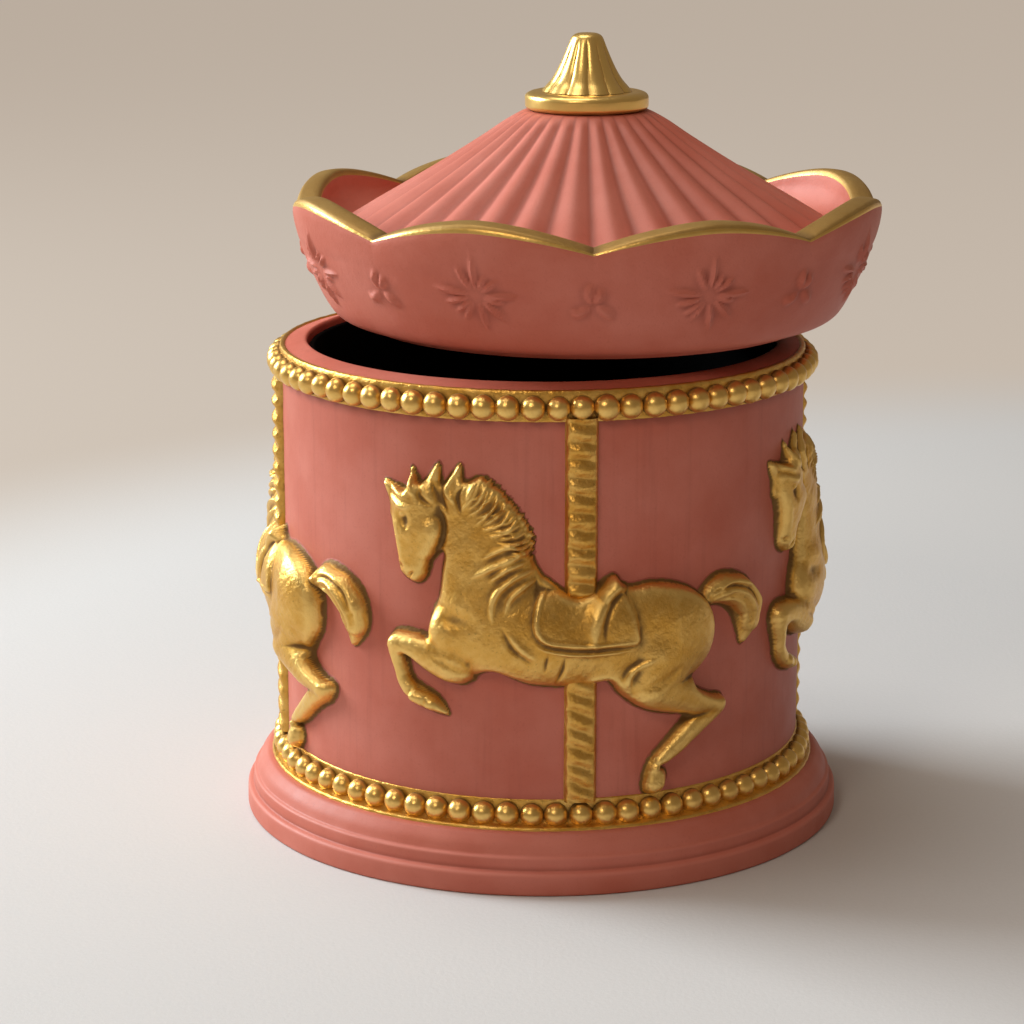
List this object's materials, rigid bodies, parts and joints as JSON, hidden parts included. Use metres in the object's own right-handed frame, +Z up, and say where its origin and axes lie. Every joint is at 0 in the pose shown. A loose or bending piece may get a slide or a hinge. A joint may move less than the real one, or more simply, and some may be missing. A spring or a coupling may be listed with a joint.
{
  "type": "wind up music box",
  "caption": "Round carousel music box with relief horses, beaded rings, a trinket well and a scalloped lift-off lid over a wind-up musical movement.",
  "frame": {"origin": "centre of the foot, on the surface that the box stands on, on the drum's axis", "axes": "+Z up along the drum's axis, -Y to the front, +X to the right of the front"},
  "size_m": [0.1466, 0.14, 0.1806],
  "materials": {
    "pink_resin": "dusty pink paint on cast resin, satin",
    "antique_gold": "rubbed antique gold paint on cast resin",
    "bright_gold": "polished",
    "black_flock": "black flock",
    "brown_felt": "pressed felt",
    "board": "fibre board",
    "brass": "machined",
    "steel": "machined"
  },
  "bodies": {
    "box": {"plinth": "pink_resin", "drum_shell": "pink_resin", "lower_bead_ring": "antique_gold", "upper_bead_ring": "antique_gold", "well_floor": "board", "well_liner": "black_flock", "horse_1": "antique_gold", "pole_upper_1": "antique_gold", "pole_lower_1": "antique_gold", "horse_2": "antique_gold", "pole_upper_2": "antique_gold", "pole_lower_2": "antique_gold", "horse_3": "antique_gold", "pole_upper_3": "antique_gold", "pole_lower_3": "antique_gold", "horse_4": "antique_gold", "pole_upper_4": "antique_gold", "pole_lower_4": "antique_gold", "felt_pad": "brown_felt", "bottom_plate": "board", "bottom_screw_1": "steel", "bottom_screw_2": "steel", "bottom_screw_3": "steel", "bottom_screw_4": "steel", "movement_bedplate": "brass", "movement_screw_1": "steel", "movement_screw_2": "steel", "movement_screw_3": "steel", "spring_barrel": "brass", "mainspring": "steel", "cylinder_bearing_back": "brass", "cylinder_bearing_front": "brass", "comb_block": "brass", "music_comb": "steel", "comb_screw_1": "steel", "comb_screw_2": "steel", "governor_bracket": "brass"},
    "winding": {"winding_arbor": "steel", "winding_key": "brass", "crown_gear": "brass"},
    "cylinder": {"cylinder_arbor": "steel", "music_cylinder": "brass", "cylinder_gear": "brass"},
    "intermediate": {"intermediate_wheel": "brass"},
    "governor": {"governor_worm": "steel", "governor_fly": "brass"},
    "lid": {"lid_valance": "pink_resin", "lid_roof": "pink_resin", "lid_liner": "black_flock", "finial_ring": "bright_gold", "finial_spire": "bright_gold", "finial_stud": "steel", "finial_nut": "steel"}
  },
  "joints": [
    {"name": "lid_lift", "type": "slide", "parent": "box", "child": "lid", "axis": [0.8872, 0, 0.4614], "range_m": [-0.01127, 0.085]},
    {"name": "cylinder_spin", "type": "hinge", "parent": "box", "child": "cylinder", "pos_m": [0, 0, 0.034], "axis": [0, 1, 0], "continuous": true},
    {"name": "winding_spin", "type": "hinge", "parent": "box", "child": "winding", "pos_m": [0, 0.024, 0.01], "axis": [0, 0, 1], "continuous": true},
    {"name": "intermediate_spin", "type": "hinge", "parent": "box", "child": "intermediate", "pos_m": [-0.012, 0, 0.034], "axis": [0, 1, 0], "continuous": true},
    {"name": "governor_spin", "type": "hinge", "parent": "box", "child": "governor", "pos_m": [-0.0199, -0.01875, 0.034], "axis": [0, 0, 1], "continuous": true}
  ],
  "couplings": [
    {"joint": "winding_spin", "follows": "cylinder_spin", "ratio": -0.33333},
    {"joint": "intermediate_spin", "follows": "cylinder_spin", "ratio": -3},
    {"joint": "governor_spin", "follows": "cylinder_spin", "ratio": 24}
  ]
}
